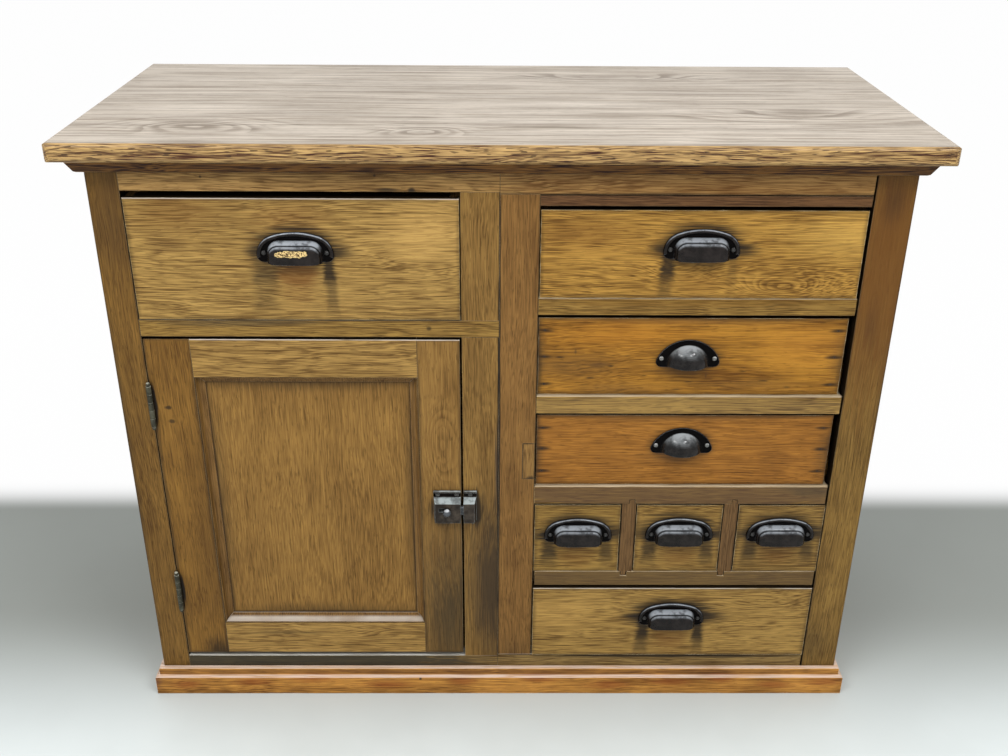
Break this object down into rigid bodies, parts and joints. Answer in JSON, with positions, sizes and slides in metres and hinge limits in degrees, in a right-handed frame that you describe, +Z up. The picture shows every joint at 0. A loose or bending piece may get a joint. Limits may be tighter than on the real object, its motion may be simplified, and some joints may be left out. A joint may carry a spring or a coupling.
{
  "type": "bakers cabinet",
  "caption": "Counter-height wooden cabinet with a panelled door and spring latch under a wide drawer, beside a bank of drawers with iron cup pulls.",
  "frame": {"origin": "on the floor, under the middle of the worktop", "axes": "+X to the right along the front, +Y from the front to the back, +Z up; the door, the drawers and their pulls face -Y"},
  "size_m": [1.143, 0.508, 0.898],
  "materials": {
    "oak_top": "worn, dry waxed oak",
    "dark_moulding": "darkened satin",
    "oak_frame": "aged satin oak",
    "door_oak": "aged satin oak",
    "front_oak": "aged satin oak, stained round the pulls",
    "front_pine": "aged satin, orange brown",
    "dark_rail": "darkened, scuffed",
    "side_oak": "aged satin",
    "plinth_wood": "reddish, scuffed",
    "inside_wood": "bare, dusty",
    "drawer_box_wood": "bare, rubbed",
    "black_iron": "black, rubbed bright on its edges",
    "hinge_steel": "dark, tarnished",
    "screw_steel": "tarnished, bright on the heads"
  },
  "bodies": {
    "cabinet": {"worktop": "oak_top", "top_moulding": "dark_moulding", "left_stile": "oak_frame", "centre_stile": "oak_frame", "right_stile": "oak_frame", "inner_stiles": "oak_frame", "top_rails": "oak_frame", "sub_rail": "dark_rail", "mid_rail": "oak_frame", "bottom_rails": "dark_rail", "drawer_dividers": "dark_rail", "drawer_muntins": "dark_rail", "stile_patch": "oak_frame", "left_side_boards": "side_oak", "right_side_boards": "side_oak", "back_boards": "inside_wood", "floor_board": "inside_wood", "partition": "inside_wood", "shelf": "inside_wood", "cleats_and_blocks": "inside_wood", "drawer_runners": "inside_wood", "base_moulding": "plinth_wood", "hinge_frame_leaves": "hinge_steel", "hinge_pins": "hinge_steel", "latch_keeper": "black_iron", "frame_screws": "screw_steel"},
    "door": {"door_hinge_stile": "door_oak", "door_latch_stile": "door_oak", "door_rails": "door_oak", "door_panel": "door_oak", "door_moulding": "door_oak", "hinge_door_leaves": "hinge_steel", "latch_case": "black_iron", "door_screws": "screw_steel", "latch_spring": "screw_steel"},
    "latch_bolt": {"latch_bolt": "black_iron"},
    "left_drawer": {"left_drawer_front": "front_oak", "left_drawer_box": "drawer_box_wood", "left_drawer_pull": "black_iron"},
    "top_drawer": {"top_drawer_front": "front_oak", "top_drawer_box": "drawer_box_wood", "top_drawer_pull": "black_iron"},
    "second_drawer": {"second_drawer_front": "front_pine", "second_drawer_box": "drawer_box_wood", "second_drawer_pull": "black_iron"},
    "third_drawer": {"third_drawer_front": "front_pine", "third_drawer_box": "drawer_box_wood", "third_drawer_pull": "black_iron"},
    "small_drawer_1": {"small_drawer_1_front": "front_oak", "small_drawer_1_box": "drawer_box_wood", "small_drawer_1_pull": "black_iron"},
    "small_drawer_2": {"small_drawer_2_front": "front_oak", "small_drawer_2_box": "drawer_box_wood", "small_drawer_2_pull": "black_iron"},
    "small_drawer_3": {"small_drawer_3_front": "front_oak", "small_drawer_3_box": "drawer_box_wood", "small_drawer_3_pull": "black_iron"},
    "bottom_drawer": {"bottom_drawer_front": "front_oak", "bottom_drawer_box": "drawer_box_wood", "bottom_drawer_pull": "black_iron"}
  },
  "joints": [
    {"name": "door_hinge", "type": "hinge", "parent": "cabinet", "child": "door", "pos_m": [-0.49325, -0.2222, 0.34569], "axis": [0, 0, -1], "range_deg": [0, 175]},
    {"name": "latch_bolt_slide", "type": "slide", "parent": "door", "child": "latch_bolt", "axis": [-1, 0, 0], "range_m": [0, 0.009], "stiffness_N_per_m": 250, "springref_m": -0.004, "deforming": ["latch_spring"]},
    {"name": "left_drawer_slide", "type": "slide", "parent": "cabinet", "child": "left_drawer", "axis": [0, -1, 0], "range_m": [0, 0.36]},
    {"name": "top_drawer_slide", "type": "slide", "parent": "cabinet", "child": "top_drawer", "axis": [0, -1, 0], "range_m": [0, 0.36]},
    {"name": "second_drawer_slide", "type": "slide", "parent": "cabinet", "child": "second_drawer", "axis": [0, -1, 0], "range_m": [0, 0.36]},
    {"name": "third_drawer_slide", "type": "slide", "parent": "cabinet", "child": "third_drawer", "axis": [0, -1, 0], "range_m": [0, 0.36]},
    {"name": "small_drawer_1_slide", "type": "slide", "parent": "cabinet", "child": "small_drawer_1", "axis": [0, -1, 0], "range_m": [0, 0.36]},
    {"name": "small_drawer_2_slide", "type": "slide", "parent": "cabinet", "child": "small_drawer_2", "axis": [0, -1, 0], "range_m": [0, 0.36]},
    {"name": "small_drawer_3_slide", "type": "slide", "parent": "cabinet", "child": "small_drawer_3", "axis": [0, -1, 0], "range_m": [0, 0.36]},
    {"name": "bottom_drawer_slide", "type": "slide", "parent": "cabinet", "child": "bottom_drawer", "axis": [0, -1, 0], "range_m": [0, 0.36]}
  ]
}
